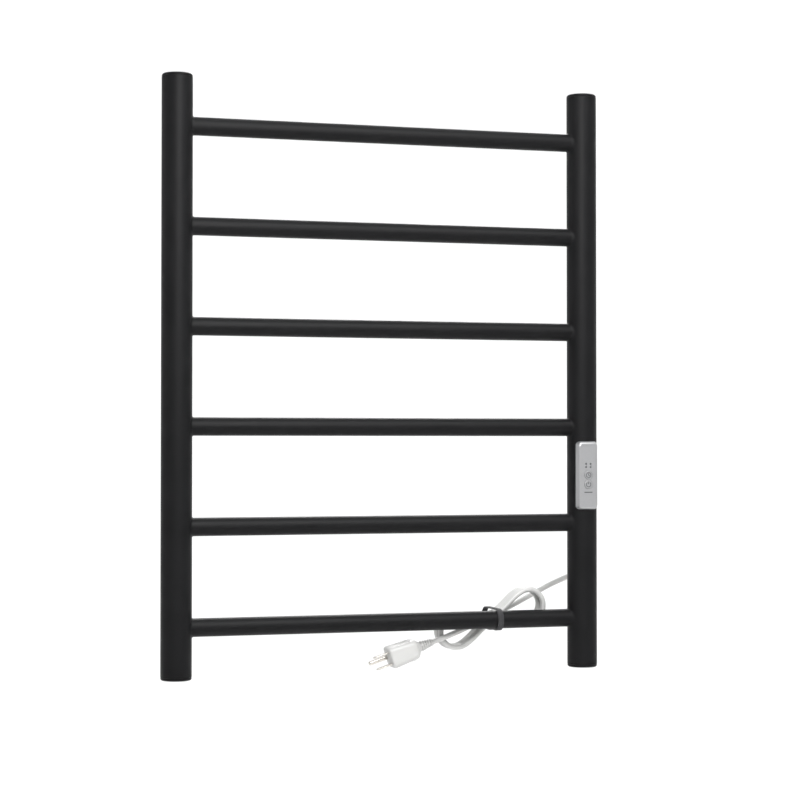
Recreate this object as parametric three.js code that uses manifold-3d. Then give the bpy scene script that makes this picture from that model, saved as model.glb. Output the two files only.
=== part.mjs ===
// Electric towel warmer rack: a ladder of two round posts and six round rails, heated by one
// cable that winds through all of them, with a push-button controller let into the right post.
// Units are millimetres. +Z is up, the front faces -Y and the wall is on the +Y side. The origin
// is the centre of the four wall fixings, on the plane of their rear faces.

import * as THREE from "three";
import { mergeVertices } from "three/addons/utils/BufferGeometryUtils.js";
import Module from "manifold-3d";

const wasm = await Module();
wasm.setup();

// ---------------------------------------------------------------- driving dimensions
const GAP = 0.3; // air kept between pieces that touch

// Frame
const HEIGHT = 620;
const POST_SPACING = 445; // centre to centre
const POST_R = 16;
const POST_WALL = 1.5;
const RAIL_COUNT = 6;
const RAIL_PITCH = 102.8;
const RAIL_R = 9.5;
const RAIL_WALL = 1.2;
const RAIL_INSET = 3; // how far a rail runs into the post, from the post's widest point
const WELD_R = 0.9; // radius of the weld bead's section
const CAP_RISE = 3; // height of an end cap above the tube
const CAP_SKIRT = 7; // depth of the cap's skirt inside the tube
const CAP_EDGE_R = 2.4;
const CAP_EDGE_STEPS = 3;

// Wall fixings: threaded bosses welded into the backs of the posts
const FIXING_PITCH = 360; // vertical distance between the bosses of one post
const BOSS_R = 8;
const BOSS_STAND = 2.5; // how far a boss stands out behind the post
const BOSS_DEPTH = 7.5;
const BOSS_CHAMFER = 0.8;
const BOSS_THREAD_R = 4; // M8

// Controller
const CONTROL_Z = -103.2; // height of its centre
const CONTROL_HEIGHT = 73.2;
const CONTROL_BASE_HALF = 12; // half of its width where it meets the post
const CONTROL_FACE_HALF = 10.3; // half of its width at the face
const CONTROL_FACE_R = 19.1; // distance of its face from the post's axis
const CONTROL_END_R = 3.6; // rounding of its top and bottom ends, seen from the side
const CONTROL_CORNER_R = 4; // rounding of its corners, seen from the front
const BEZEL_WALL = 1.6;
const SEAL_THICK = 0.8;
const SLOT_HALF = 9; // half of the width of the post's window
const SLOT_HEIGHT = 64;
const TIMER_Z = CONTROL_Z + 0.4;
const POWER_Z = CONTROL_Z - 9.8;
const BUTTON_R = 4.4;
const BUTTON_PROUD = 0.4;
const BUTTON_FLANGE_R = 4.85;
const LAMP_Z = CONTROL_Z + 10.7; // centre of the four lamps
const LAMP_DX = 2.6;
const LAMP_DZ = 1.7;
const LAMP_R = 0.95;

// Mains cord
const CORD_R = 2.8;
const GLAND_Z = -215.3;
const GLAND_NECK_R = 4.2;
const GLAND_INNER_V = 11.5; // distance of its inner end from the post's axis
const HANK_X = 126; // where the hank is tied to the lowest rail
const HANK_TILT = THREE.MathUtils.degToRad(18);
const HANK_HALF = 60; // half of its length, along the cord's centre line
const HANK_FOLD_R = 17;
const HANK_WAIST = 3.1; // centre line's offset from the hank's axis where it is tied

// ---------------------------------------------------------------- derived places
const HALF_SPACING = POST_SPACING / 2;
const AXIS_Y = -(POST_R + BOSS_STAND); // the plane of the post and rail axes
const TUBE_HALF = HEIGHT / 2 - CAP_RISE;
const POST_BORE_R = POST_R - POST_WALL;
const RAIL_BORE_R = RAIL_R - RAIL_WALL;
const FIXING_Z = FIXING_PITCH / 2;
const railZ = (i) => ((RAIL_COUNT + 1) / 2 - i) * RAIL_PITCH; // rail 1 is the top one

// ---------------------------------------------------------------- materials
const surface = (color, roughness, metalness = 0) =>
  new THREE.MeshStandardMaterial({ color, roughness, metalness });
const blackCoat = surface(0x1c1c1d, 0.55, 0.1);
const steel = surface(0xa9abad, 0.35, 1);
const silver = surface(0xb3b5b7, 0.32, 0.7);
const lampGlass = surface(0x2a2d2f, 0.3);
const darkRubber = surface(0x202122, 0.8);
const whitePlastic = surface(0xe4e4e0, 0.5);
const cordPvc = surface(0xe2e2df, 0.5);
const greenBoard = surface(0x1f5a37, 0.5);
const heaterSheath = surface(0xa03a2a, 0.6);
const brass = surface(0xc2a35a, 0.3, 1);
const strapBlack = surface(0x17181a, 0.8);

// ---------------------------------------------------------------- solids
function solid(geometry) {
  const bare = geometry.index ? geometry.toNonIndexed() : geometry.clone();
  bare.deleteAttribute("normal");
  bare.deleteAttribute("uv");
  const merged = mergeVertices(bare, 1e-3);
  return new wasm.Manifold(
    new wasm.Mesh({
      numProp: 3,
      vertProperties: merged.attributes.position.array,
      triVerts: new Uint32Array(merged.index.array),
    }),
  );
}

function geometryOf(manifold) {
  const { vertProperties, triVerts } = manifold.getMesh();
  const geometry = new THREE.BufferGeometry();
  geometry.setAttribute("position", new THREE.BufferAttribute(vertProperties, 3));
  geometry.setIndex(new THREE.BufferAttribute(triVerts, 1));
  return geometry;
}

const join = (first, ...others) => others.reduce((sum, other) => sum.add(other), first);
const cut = (body, ...tools) => tools.reduce((rest, tool) => rest.subtract(tool), body);

const rack = new THREE.Group();

function piece(name, body, material) {
  const mesh = new THREE.Mesh(geometryOf(body), material);
  mesh.name = name;
  rack.add(mesh);
  return mesh;
}

// A box from its lowest to its highest corner.
function block([x0, y0, z0], [x1, y1, z1]) {
  const geometry = new THREE.BoxGeometry(x1 - x0, y1 - y0, z1 - z0);
  return solid(geometry.translate((x0 + x1) / 2, (y0 + y1) / 2, (z0 + z1) / 2));
}

const TURN_TO = {
  x: new THREE.Matrix4().makeRotationZ(-Math.PI / 2),
  y: new THREE.Matrix4(),
  z: new THREE.Matrix4().makeRotationX(Math.PI / 2),
};

// A cylinder along an axis, from one place on it to another, centred on the other two
// coordinates of `at`.
function rod(axis, radius, from, to, at, sides = 24) {
  const geometry = new THREE.CylinderGeometry(radius, radius, to - from, sides);
  geometry.applyMatrix4(TURN_TO[axis]);
  const centre = new THREE.Vector3(...at);
  centre[axis] = (from + to) / 2;
  return solid(geometry.translate(centre.x, centre.y, centre.z));
}

// A body of revolution about an axis through `at`: the profile holds [radius, place] pairs and
// either starts and ends on the axis or closes on itself.
function turned(axis, profile, at, sides = 24) {
  const points = profile.map(([radius, place]) => new THREE.Vector2(radius, place));
  const geometry = new THREE.LatheGeometry(points, sides);
  geometry.applyMatrix4(TURN_TO[axis]);
  const body = solid(geometry.translate(...at));
  return body.volume() < 0 ? solid(flipped(geometry)) : body;
}

function flipped(geometry) {
  const back = geometry.index ? geometry.toNonIndexed() : geometry;
  const { array } = back.attributes.position;
  for (let i = 0; i < array.length; i += 9)
    for (let k = 0; k < 3; k++)
      [array[i + 3 + k], array[i + 6 + k]] = [array[i + 6 + k], array[i + 3 + k]];
  return back;
}

// Straight runs joined by round bends. Its parameter steps land on the ends of the runs, so a
// run takes one step and a bend takes BEND_STEPS.
const BEND_STEPS = 4;

class BentPath extends THREE.Curve {
  constructor(corners, radius) {
    super();
    const points = corners.map((corner) => new THREE.Vector3(...corner));
    this.stops = [points[0]];
    for (let i = 1; i < points.length - 1; i++)
      this.bend(points[i - 1], points[i], points[i + 1], radius);
    this.stops.push(points.at(-1));
  }
  bend(before, corner, after, radius) {
    const inward = before.clone().sub(corner).normalize();
    const outward = after.clone().sub(corner).normalize();
    const halfAngle = inward.angleTo(outward) / 2;
    const reach = radius / Math.tan(halfAngle);
    const start = corner.clone().addScaledVector(inward, reach);
    const end = corner.clone().addScaledVector(outward, reach);
    const middle = inward.add(outward).normalize();
    const centre = corner.clone().addScaledVector(middle, radius / Math.sin(halfAngle));
    const from = start.sub(centre);
    const to = end.sub(centre);
    const sweep = Math.PI - 2 * halfAngle;
    for (let i = 0; i <= BEND_STEPS; i++) {
      const turn = (i / BEND_STEPS) * sweep;
      const share = from.clone().multiplyScalar(Math.sin(sweep - turn));
      share.addScaledVector(to, Math.sin(turn)).divideScalar(Math.sin(sweep));
      this.stops.push(share.add(centre));
    }
  }
  get steps() {
    return this.stops.length - 1;
  }
  getUtoTmapping(u) {
    return u;
  }
  getPoint(t) {
    const place = t * this.steps;
    const i = Math.min(Math.floor(place), this.steps - 1);
    return this.stops[i].clone().lerp(this.stops[i + 1], place - i);
  }
  getTangent(t) {
    const i = Math.round(t * this.steps);
    const before = this.stops[Math.max(i - 1, 0)];
    const after = this.stops[Math.min(i + 1, this.steps)];
    return after.clone().sub(before).normalize();
  }
}

// A round wire or cord along a path.
function cable(path, steps, radius, sides = 8) {
  const section = new THREE.Shape();
  for (let i = 0; i < sides; i++) {
    const turn = (i / sides) * 2 * Math.PI;
    section[i ? "lineTo" : "moveTo"](radius * Math.cos(turn), radius * Math.sin(turn));
  }
  section.closePath();
  return solid(new THREE.ExtrudeGeometry(section, { steps, extrudePath: path }));
}

function bentCable(corners, bendRadius, radius) {
  const path = new BentPath(corners, bendRadius);
  return cable(path, path.steps, radius);
}

// ---------------------------------------------------------------- places on the right post
const onPost = (u, v, z) => [HALF_SPACING + u, AXIS_Y + v, z];

// ---------------------------------------------------------------- frame
function postTube(x) {
  const outer = rod("z", POST_R, -TUBE_HALF, TUBE_HALF, [x, AXIS_Y, 0], 36);
  const bore = rod("z", POST_BORE_R, -TUBE_HALF - 1, TUBE_HALF + 1, [x, AXIS_Y, 0], 36);
  const side = Math.sign(x);
  const inner = x - side * (POST_R + 1);
  const holes = [];
  for (let i = 1; i <= RAIL_COUNT; i++) {
    const ends = [inner, x].sort((a, b) => a - b);
    holes.push(rod("x", RAIL_R + GAP, ...ends, [0, AXIS_Y, railZ(i)], 20));
  }
  for (const z of [FIXING_Z, -FIXING_Z])
    holes.push(rod("y", BOSS_R + GAP, AXIS_Y, 0, [x, 0, z], 20));
  return cut(outer, bore, ...holes);
}

function makePosts() {
  piece("left_post", postTube(-HALF_SPACING), blackCoat);
  const half = SLOT_HEIGHT / 2;
  const controlWindow = block(
    onPost(-SLOT_HALF, -POST_R - 1, CONTROL_Z - half),
    onPost(SLOT_HALF, 0, CONTROL_Z + half),
  );
  const cordHole = rod("y", GLAND_NECK_R + GAP, AXIS_Y, 0, onPost(0, 0, GLAND_Z), 20);
  piece("right_post", cut(postTube(HALF_SPACING), controlWindow, cordHole), blackCoat);
}

// The weld bead is a ring about the rail, bent to follow the round side of the post.
function weldBead(side, z) {
  const ring = new THREE.TorusGeometry(RAIL_R + WELD_R - 0.2, WELD_R, 4, 16);
  ring.rotateY(Math.PI / 2);
  const { array } = ring.attributes.position;
  const reach = POST_R + GAP + WELD_R + 0.1;
  for (let i = 0; i < array.length; i += 3)
    array[i] += Math.sqrt(reach ** 2 - array[i + 1] ** 2) - HALF_SPACING;
  if (side > 0) ring.applyMatrix4(new THREE.Matrix4().makeRotationZ(Math.PI));
  return solid(ring.translate(0, AXIS_Y, z));
}

function makeRails() {
  const end = HALF_SPACING - POST_R + RAIL_INSET;
  for (let i = 1; i <= RAIL_COUNT; i++) {
    const at = [0, AXIS_Y, railZ(i)];
    const tube = rod("x", RAIL_R, -end, end, at, 20);
    const bore = rod("x", RAIL_BORE_R, -end - 1, end + 1, at, 12);
    const beads = [weldBead(-1, railZ(i)), weldBead(1, railZ(i))];
    piece(`rail_${i}`, cut(join(tube, ...beads), bore), blackCoat);
  }
}

// A pressed cap: a rounded lid with a skirt that sits in the tube.
function makeCaps() {
  const skirtR = POST_BORE_R - GAP;
  const profile = [[0, CAP_RISE]];
  for (let i = 0; i <= CAP_EDGE_STEPS; i++) {
    const turn = (i / CAP_EDGE_STEPS) * (Math.PI / 2);
    profile.push([
      POST_R - CAP_EDGE_R + CAP_EDGE_R * Math.sin(turn),
      CAP_RISE - CAP_EDGE_R + CAP_EDGE_R * Math.cos(turn),
    ]);
  }
  profile.push([POST_R, GAP], [skirtR, GAP], [skirtR, -CAP_SKIRT]);
  profile.push([skirtR - POST_WALL, -CAP_SKIRT], [skirtR - POST_WALL, GAP], [0, GAP]);
  for (const [side, x] of [["left", -HALF_SPACING], ["right", HALF_SPACING]])
    for (const [end, sign] of [["top", 1], ["bottom", -1]]) {
      const signed = profile.map(([r, place]) => [r, sign * place]);
      const at = [x, AXIS_Y, sign * TUBE_HALF];
      piece(`${side}_${end}_cap`, turned("z", signed, at, 24), blackCoat);
    }
}

function makeBosses() {
  const inner = -BOSS_DEPTH;
  const profile = [
    [BOSS_THREAD_R, inner],
    [BOSS_R, inner],
    [BOSS_R, -BOSS_CHAMFER],
    [BOSS_R - BOSS_CHAMFER, 0],
    [BOSS_THREAD_R + BOSS_CHAMFER, 0],
    [BOSS_THREAD_R, -BOSS_CHAMFER],
    [BOSS_THREAD_R, inner],
  ];
  for (const [side, x] of [["left", -HALF_SPACING], ["right", HALF_SPACING]])
    for (const [level, z] of [["upper", FIXING_Z], ["lower", -FIXING_Z]])
      piece(`${level}_${side}_wall_boss`, turned("y", profile, [x, 0, z]), steel);
}

// ---------------------------------------------------------------- heating
const WIRE_R = 2;
const HEATER_R = 2.2;
const EARTH_WIRE_R = 1.1;
const WIRE_BEND_R = 8;
const RUN_U = -3.5; // the heating cable's line down the right post, from the post's axis
const RISER = [5.5, 6]; // the leads' line beside it
const CUTOUT_Z = [-30, -8];
const SPLICE_Z = [-232, -220];
const TERMINAL_Z = CONTROL_Z - 29.3; // where the leads from below end
const LINE_END_Z = CONTROL_Z + 25.2; // where the lead from above ends
const MAINS_ENTRY = [-4, -4.5];
const RETURN_ENTRY = [4.4, -2.2];
const EARTH_ENTRY = [4.6, -6.2];
const LINE_ENTRY = [3, -4];

// The heating cable's corners: up to rail 1, then to and fro through the rails to rail 6.
function heaterCorners() {
  const rise = 20; // height over which the cable shifts between the two lines in the post
  const leftX = RUN_U + HALF_SPACING;
  const corners = [
    onPost(...RISER, CUTOUT_Z[1] + GAP),
    onPost(...RISER, railZ(1) - rise),
  ];
  for (let i = 1; i <= RAIL_COUNT; i += 2) {
    corners.push(onPost(RUN_U, 0, railZ(i)), [-leftX, AXIS_Y, railZ(i)]);
    corners.push([-leftX, AXIS_Y, railZ(i + 1)], onPost(RUN_U, 0, railZ(i + 1)));
    if (i === 3) {
      // Behind the controller the cable runs along the back of the post.
      const back = 9.5;
      corners.push(onPost(RUN_U, back, railZ(4) - 16), onPost(RUN_U, back, railZ(5) + 16));
    }
  }
  corners.push(onPost(...RISER, railZ(RAIL_COUNT) + rise));
  corners.push(onPost(...RISER, SPLICE_Z[0] - GAP));
  return corners;
}

function makeHeating() {
  const lead = (name, corners, radius, material) =>
    piece(name, bentCable(corners, WIRE_BEND_R, radius), material);
  const centre = onPost(...RISER, 0);
  lead("heating_cable", heaterCorners(), HEATER_R, heaterSheath);
  piece("thermal_cutout", rod("z", 4, ...CUTOUT_Z, centre, 16), whitePlastic);
  piece("crimp_splice", rod("z", 3, ...SPLICE_Z, centre, 16), whitePlastic);
  const overControl = CONTROL_Z + CONTROL_HEIGHT / 2 + 6;
  lead(
    "line_lead",
    [
      onPost(...LINE_ENTRY, LINE_END_Z),
      onPost(...LINE_ENTRY, overControl),
      onPost(...RISER, overControl + 14),
      onPost(...RISER, CUTOUT_Z[0] - GAP),
    ],
    WIRE_R,
    darkRubber,
  );
  const underControl = CONTROL_Z - CONTROL_HEIGHT / 2;
  lead(
    "return_lead",
    [
      onPost(...RISER, SPLICE_Z[1] + GAP),
      onPost(...RISER, underControl - 14),
      onPost(...RETURN_ENTRY, underControl),
      onPost(...RETURN_ENTRY, TERMINAL_Z),
    ],
    WIRE_R,
    darkRubber,
  );
  lead(
    "inner_mains_lead",
    [
      onPost(0, GLAND_INNER_V - GAP, GLAND_Z),
      onPost(0, 0, GLAND_Z),
      onPost(-6, -6, GLAND_Z + 18),
      onPost(-6, -6, underControl - 12),
      onPost(...MAINS_ENTRY, underControl),
      onPost(...MAINS_ENTRY, TERMINAL_Z),
    ],
    CORD_R,
    cordPvc,
  );
}

// The earth lead is screwed to a lug on the inside of the right post.
function makeEarth() {
  const z = -241;
  const holeR = 2.1;
  const lug = block(onPost(10.8, -3, z - 5), onPost(13.8, 3, z + 2.7));
  const through = rod("x", holeR, HALF_SPACING, HALF_SPACING + POST_R, onPost(0, 0, z), 16);
  piece("earth_lug", cut(lug, through), steel);
  const ringU = [9.2, 10.5];
  const ring = rod("x", 3.6, ...ringU.map((u) => HALF_SPACING + u), onPost(0, 0, z), 16);
  const middleU = (ringU[0] + ringU[1]) / 2;
  const barrel = rod("z", 1.5, z + 3, z + 13, onPost(middleU, 0, 0), 12);
  piece("earth_ring_terminal", cut(join(ring, barrel), through), brass);
  const screw = [
    [0, 13.4],
    [1.8, 13.4],
    [1.8, 8.9],
    [2.7, 8.9],
    [2.7, 7.2],
    [2, 6.6],
    [0, 6.6],
  ];
  piece("earth_screw", turned("x", screw, onPost(0, 0, z), 16), brass);
  const underControl = CONTROL_Z - CONTROL_HEIGHT / 2;
  const route = [
    onPost(middleU, 0, z + 13 + GAP),
    onPost(middleU, 0, z + 29),
    onPost(8, -7, z + 45),
    onPost(8, -7, underControl - 12),
    onPost(...EARTH_ENTRY, underControl),
    onPost(...EARTH_ENTRY, TERMINAL_Z),
  ];
  piece("earth_lead", bentCable(route, WIRE_BEND_R, EARTH_WIRE_R), surface(0x7c9a2d, 0.6));
}

// ---------------------------------------------------------------- controller
const LAYING = {
  x: new THREE.Matrix4().makeBasis(
    new THREE.Vector3(0, 1, 0),
    new THREE.Vector3(0, 0, 1),
    new THREE.Vector3(1, 0, 0),
  ),
  y: new THREE.Matrix4().makeRotationX(Math.PI / 2),
  z: new THREE.Matrix4(),
};

// An outline extruded along an axis from its own plane: the outline's own two coordinates are
// the other two axes, in X, Y, Z order.
function prism(axis, shape, depth, at) {
  const geometry = new THREE.ExtrudeGeometry(shape, {
    depth,
    bevelEnabled: false,
    curveSegments: 5,
  });
  geometry.translate(0, 0, -depth / 2).applyMatrix4(LAYING[axis]);
  return solid(geometry.translate(...at));
}

function roundedOutline(halfWidth, halfHeight, radius) {
  const shape = new THREE.Shape();
  const x = halfWidth - radius;
  const y = halfHeight - radius;
  shape.absarc(x, y, radius, 0, Math.PI / 2);
  shape.absarc(-x, y, radius, Math.PI / 2, Math.PI);
  shape.absarc(-x, -y, radius, Math.PI, 1.5 * Math.PI);
  shape.absarc(x, -y, radius, 1.5 * Math.PI, 2 * Math.PI);
  shape.closePath();
  return shape;
}

const FLARE_V = -11; // the sides are parallel behind this, and draw in towards the face
const BEZEL_BACK_V = -4;

// The bezel's form, drawn in by an inset: its plan, its side view and its front view crossed.
function bezelForm(inset) {
  const face = -(CONTROL_FACE_R - inset);
  const faceHalf = CONTROL_FACE_HALF - inset;
  const baseHalf = CONTROL_BASE_HALF - inset;
  const edge = 0.8;
  const plan = new THREE.Shape();
  plan.moveTo(-baseHalf, BEZEL_BACK_V);
  plan.lineTo(-baseHalf, FLARE_V);
  plan.lineTo(-faceHalf, face + edge);
  plan.lineTo(-faceHalf + edge, face);
  plan.lineTo(faceHalf - edge, face);
  plan.lineTo(faceHalf, face + edge);
  plan.lineTo(baseHalf, FLARE_V);
  plan.lineTo(baseHalf, BEZEL_BACK_V);
  plan.closePath();
  const halfHeight = CONTROL_HEIGHT / 2 - inset;
  const side = roundedOutline(-face, halfHeight, CONTROL_END_R);
  const front = roundedOutline(baseHalf, halfHeight, CONTROL_CORNER_R);
  const length = CONTROL_HEIGHT + 10;
  return prism("z", plan, length, onPost(0, 0, CONTROL_Z))
    .intersect(prism("x", side, 40, onPost(0, 0, CONTROL_Z)))
    .intersect(prism("y", front, 60, onPost(0, 0, CONTROL_Z)));
}

const postRod = (radius) =>
  rod("z", radius, CONTROL_Z - 50, CONTROL_Z + 50, onPost(0, 0, 0), 40);

const LAMPS = [
  ["upper_left", -LAMP_DX, LAMP_Z + LAMP_DZ],
  ["upper_right", LAMP_DX, LAMP_Z + LAMP_DZ],
  ["lower_left", -LAMP_DX, LAMP_Z - LAMP_DZ],
  ["lower_right", LAMP_DX, LAMP_Z - LAMP_DZ],
];
const BUTTONS = [
  ["timer", TIMER_Z],
  ["power", POWER_Z],
];

// A cylinder along Y on the controller, between two distances v from the post's axis.
const peg = (radius, u, z, from, to, sides = 16) =>
  rod("y", radius, AXIS_Y + from, AXIS_Y + to, onPost(u, 0, z), sides);

// A box on the controller: u, v and height above its centre, from lowest to highest corner.
const cell = ([u0, v0, h0], [u1, v1, h1]) =>
  block(onPost(u0, v0, CONTROL_Z + h0), onPost(u1, v1, CONTROL_Z + h1));

const FACE_INNER = -(CONTROL_FACE_R - BEZEL_WALL);
const FLANGE_FRONT = FACE_INNER + GAP;
const FLANGE_BACK = FLANGE_FRONT + 0.9;
const BOARD_FRONT = -9.4;
const BOARD_BACK = -8.2;
const SWITCH_FRONT = -13.2;
const BOARD_SCREWS = [
  ["upper", -4.5, 26.2],
  ["lower", 4.9, -10],
];

function makeShell() {
  const seat = POST_R + GAP + SEAL_THICK + GAP;
  let bezel = cut(bezelForm(0), bezelForm(BEZEL_WALL), postRod(seat));
  const throughFace = [-CONTROL_FACE_R - 1, FACE_INNER + 1];
  for (const [, z] of BUTTONS)
    bezel = cut(bezel, peg(BUTTON_R + GAP, 0, z, ...throughFace, 24));
  for (const [, u, z] of LAMPS)
    bezel = cut(bezel, peg(LAMP_R + 0.2, u, z, ...throughFace, 12));
  piece("control_bezel", bezel, silver);

  const halfHeight = CONTROL_HEIGHT / 2;
  const rim = prism(
    "y",
    roundedOutline(CONTROL_BASE_HALF - 0.3, halfHeight - 0.3, CONTROL_CORNER_R),
    30,
    onPost(0, -POST_R, CONTROL_Z),
  );
  const openHalf = SLOT_HALF + 0.6;
  const openTop = SLOT_HEIGHT / 2 + 1;
  const opening = cell([-openHalf, -40, -openTop], [openHalf, 0, openTop]);
  const skin = cut(postRod(POST_R + GAP + SEAL_THICK), postRod(POST_R + GAP));
  piece("control_seal", cut(rim.intersect(skin), opening), darkRubber);
}

// An open-fronted tray for the board, with pillars for its screws and holes for the leads.
function makeCarrier() {
  const wall = 1.2;
  const [half, front, back, halfHeight] = [8.4, -16.9, 1.5, 30.6];
  const shell = cell([-half, front, -halfHeight], [half, back, halfHeight]);
  const hollow = cell(
    [wall - half, front - 1, wall - halfHeight],
    [half - wall, back - wall, halfHeight - wall],
  );
  const below = [-halfHeight - 1, wall - halfHeight + 1];
  const above = [halfHeight - wall - 1, halfHeight + 1];
  const leads = [
    [MAINS_ENTRY, CORD_R, ...below],
    [RETURN_ENTRY, WIRE_R, ...below],
    [EARTH_ENTRY, EARTH_WIRE_R, ...below],
    [LINE_ENTRY, WIRE_R, ...above],
  ];
  let carrier = cut(shell, hollow);
  for (const [, u, height] of BOARD_SCREWS)
    carrier = join(carrier, peg(2, u, CONTROL_Z + height, BOARD_BACK + GAP, 0.6, 12));
  for (const [, u, height] of BOARD_SCREWS)
    carrier = cut(carrier, peg(1.1, u, CONTROL_Z + height, BOARD_BACK, -3, 8));
  for (const [at, radius, from, to] of leads)
    carrier = cut(
      carrier,
      rod("z", radius + GAP, CONTROL_Z + from, CONTROL_Z + to, onPost(...at, 0), 12),
    );
  piece("control_carrier", carrier, darkRubber);
}

function makeBoard() {
  let board = cell([-6.9, BOARD_FRONT, -28.5], [6.9, BOARD_BACK, 28.5]);
  for (const [, u, height] of BOARD_SCREWS)
    board = cut(board, peg(1.1, u, CONTROL_Z + height, -12, -6, 8));
  piece("control_board", board, greenBoard);
  for (const [name, u, height] of BOARD_SCREWS) {
    const profile = [
      [0, -11],
      [1.4, -11],
      [1.4, BOARD_FRONT - GAP],
      [0.8, BOARD_FRONT - GAP],
      [0.8, -4],
      [0, -4],
    ];
    const screw = turned("y", profile, onPost(u, 0, CONTROL_Z + height), 12);
    piece(`board_screw_${name}`, screw, steel);
  }
  const rear = BOARD_BACK + GAP;
  piece("relay", cell([-6, rear, 5], [6, -0.4, 23]), darkRubber);
  piece("capacitor", cell([-6.6, rear, -17.5], [1.6, -1.5, -7.5]), surface(0xc9a13b, 0.5));
  piece("terminal_block", cell([-6.8, rear, -29], [6.8, -0.1, -19.5]), whitePlastic);
  for (const [name, u, z] of LAMPS) {
    const half = 0.8;
    const lamp = block(
      onPost(u - half, -10.7, z - half),
      onPost(u + half, BOARD_FRONT - GAP, z + half),
    );
    piece(`lamp_${name}`, lamp, surface(0xe8e6d8, 0.3));
  }
}

function makeLightGuide() {
  let guide = cell([-6.2, FLANGE_FRONT, 7.1], [6.2, FLANGE_BACK, 14.3]);
  for (const [, u, z] of LAMPS)
    guide = join(guide, peg(LAMP_R, u, z, -CONTROL_FACE_R, -11, 12));
  piece("light_guide", guide, lampGlass);
}

function makeButtons() {
  const front = -CONTROL_FACE_R - BUTTON_PROUD;
  const stemR = 1.7;
  const stemEnd = -14.3;
  const profile = [
    [0, front],
    [BUTTON_R - 0.4, front],
    [BUTTON_R, front + 0.4],
    [BUTTON_R, FLANGE_FRONT],
    [BUTTON_FLANGE_R, FLANGE_FRONT],
    [BUTTON_FLANGE_R, FLANGE_BACK],
    [stemR, FLANGE_BACK],
    [stemR, stemEnd],
    [0, stemEnd],
  ];
  for (const [name, z] of BUTTONS) {
    piece(`${name}_button`, turned("y", profile, onPost(0, 0, z)), silver);
    const plunger = peg(1.5, 0, z, stemEnd + GAP, -12.7, 12);
    piece(`${name}_switch_plunger`, plunger, darkRubber);
    const height = z - CONTROL_Z;
    const body = cell([-3, SWITCH_FRONT, height - 3], [3, BOARD_FRONT - GAP, height + 3]);
    piece(`${name}_switch`, cut(body, peg(1.9, 0, z, -14, -11.9, 12)), darkRubber);
  }
}

// ---------------------------------------------------------------- mains cord
// The cord's route from its strain relief to the hank, as [x, distance behind the posts' axes,
// height]: straight out of the relief, round to the left, and down to the hank.
const CORD_ROUTE = [
  [222.5, 37.3, -215.3],
  [222.5, 41, -215.5],
  [222.3, 45, -216.2],
  [221.2, 49.5, -217.6],
  [218.8, 54, -219.6],
  [215, 57.9, -222],
  [210, 60.8, -224.8],
  [204.2, 62.3, -227.9],
  [197.5, 62.8, -231.2],
  [190.5, 62.2, -234.5],
  [183, 60.6, -237.8],
  [175.5, 58.2, -240.9],
  [168, 55.2, -243.9],
  [160.5, 51.7, -246.6],
  [153, 47.9, -249],
  [143.5, 42.9, -251.4],
];
const CORD_STEPS = 24;

function makeStrainRelief() {
  const profile = [
    [0, GLAND_INNER_V],
    [6.2, GLAND_INNER_V],
    [6.2, GLAND_INNER_V + 1.2],
    [GLAND_NECK_R, GLAND_INNER_V + 1.2],
    [GLAND_NECK_R, POST_R + GAP],
    [6.6, POST_R + GAP],
    [6.6, POST_R + 2.3],
    [4.7, POST_R + 3.3],
    [3.5, CORD_ROUTE[0][1] - GAP],
    [0, CORD_ROUTE[0][1] - GAP],
  ];
  const relief = turned("y", profile, onPost(0, 0, GLAND_Z), 20);
  piece("cord_strain_relief", relief, cordPvc);
}

function makeCordLead() {
  const points = CORD_ROUTE.map(([x, v, z]) => new THREE.Vector3(x, AXIS_Y + v, z));
  const route = new THREE.CatmullRomCurve3(points);
  piece("cord_lead", cable(route, CORD_STEPS, CORD_R), cordPvc);
}

// The hank, the cord's last stretch and the plug lie in one line, tilted down to the left,
// behind the lowest rail. In their own group X runs along that line.
const bundle = new THREE.Group();
bundle.position.set(HANK_X, AXIS_Y, railZ(RAIL_COUNT));
bundle.rotation.y = -HANK_TILT;
rack.add(bundle);

const HANK_V = [9.9, 40.1]; // its front and back, from the rail's axis
const TAIL_V = 11; // the cord's last stretch and the plug, behind the rail's axis
const PLUG_START = -73.6;
const PLUG_FACE = -124.6;
const PLUG_HALF_HEIGHT = 11.25;
const PLUG_HALF_DEPTH = 13;

function makeHank() {
  const endR = HANK_FOLD_R + CORD_R + GAP;
  const centre = HANK_HALF - HANK_FOLD_R;
  const waist = HANK_WAIST + CORD_R + 0.4;
  const outline = new THREE.Shape();
  outline.absarc(centre, 0, endR, -Math.PI / 2, Math.PI / 2);
  outline.bezierCurveTo(28, endR, 16, waist, 0, waist);
  outline.bezierCurveTo(-16, waist, -28, endR, -centre, endR);
  outline.absarc(-centre, 0, endR, Math.PI / 2, 1.5 * Math.PI);
  outline.bezierCurveTo(-28, -endR, -16, -waist, 0, -waist);
  outline.bezierCurveTo(16, -waist, 28, -endR, centre, -endR);
  const depth = HANK_V[1] - HANK_V[0];
  const hank = prism("y", outline, depth, [0, (HANK_V[0] + HANK_V[1]) / 2, 0]);
  bundle.add(piece("cord_hank", hank, cordPvc));
  const start = -(centre + endR + GAP);
  const tail = rod("x", CORD_R, PLUG_START + GAP, start, [0, TAIL_V, 0], 8);
  bundle.add(piece("cord_tail", tail, cordPvc));
}

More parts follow.
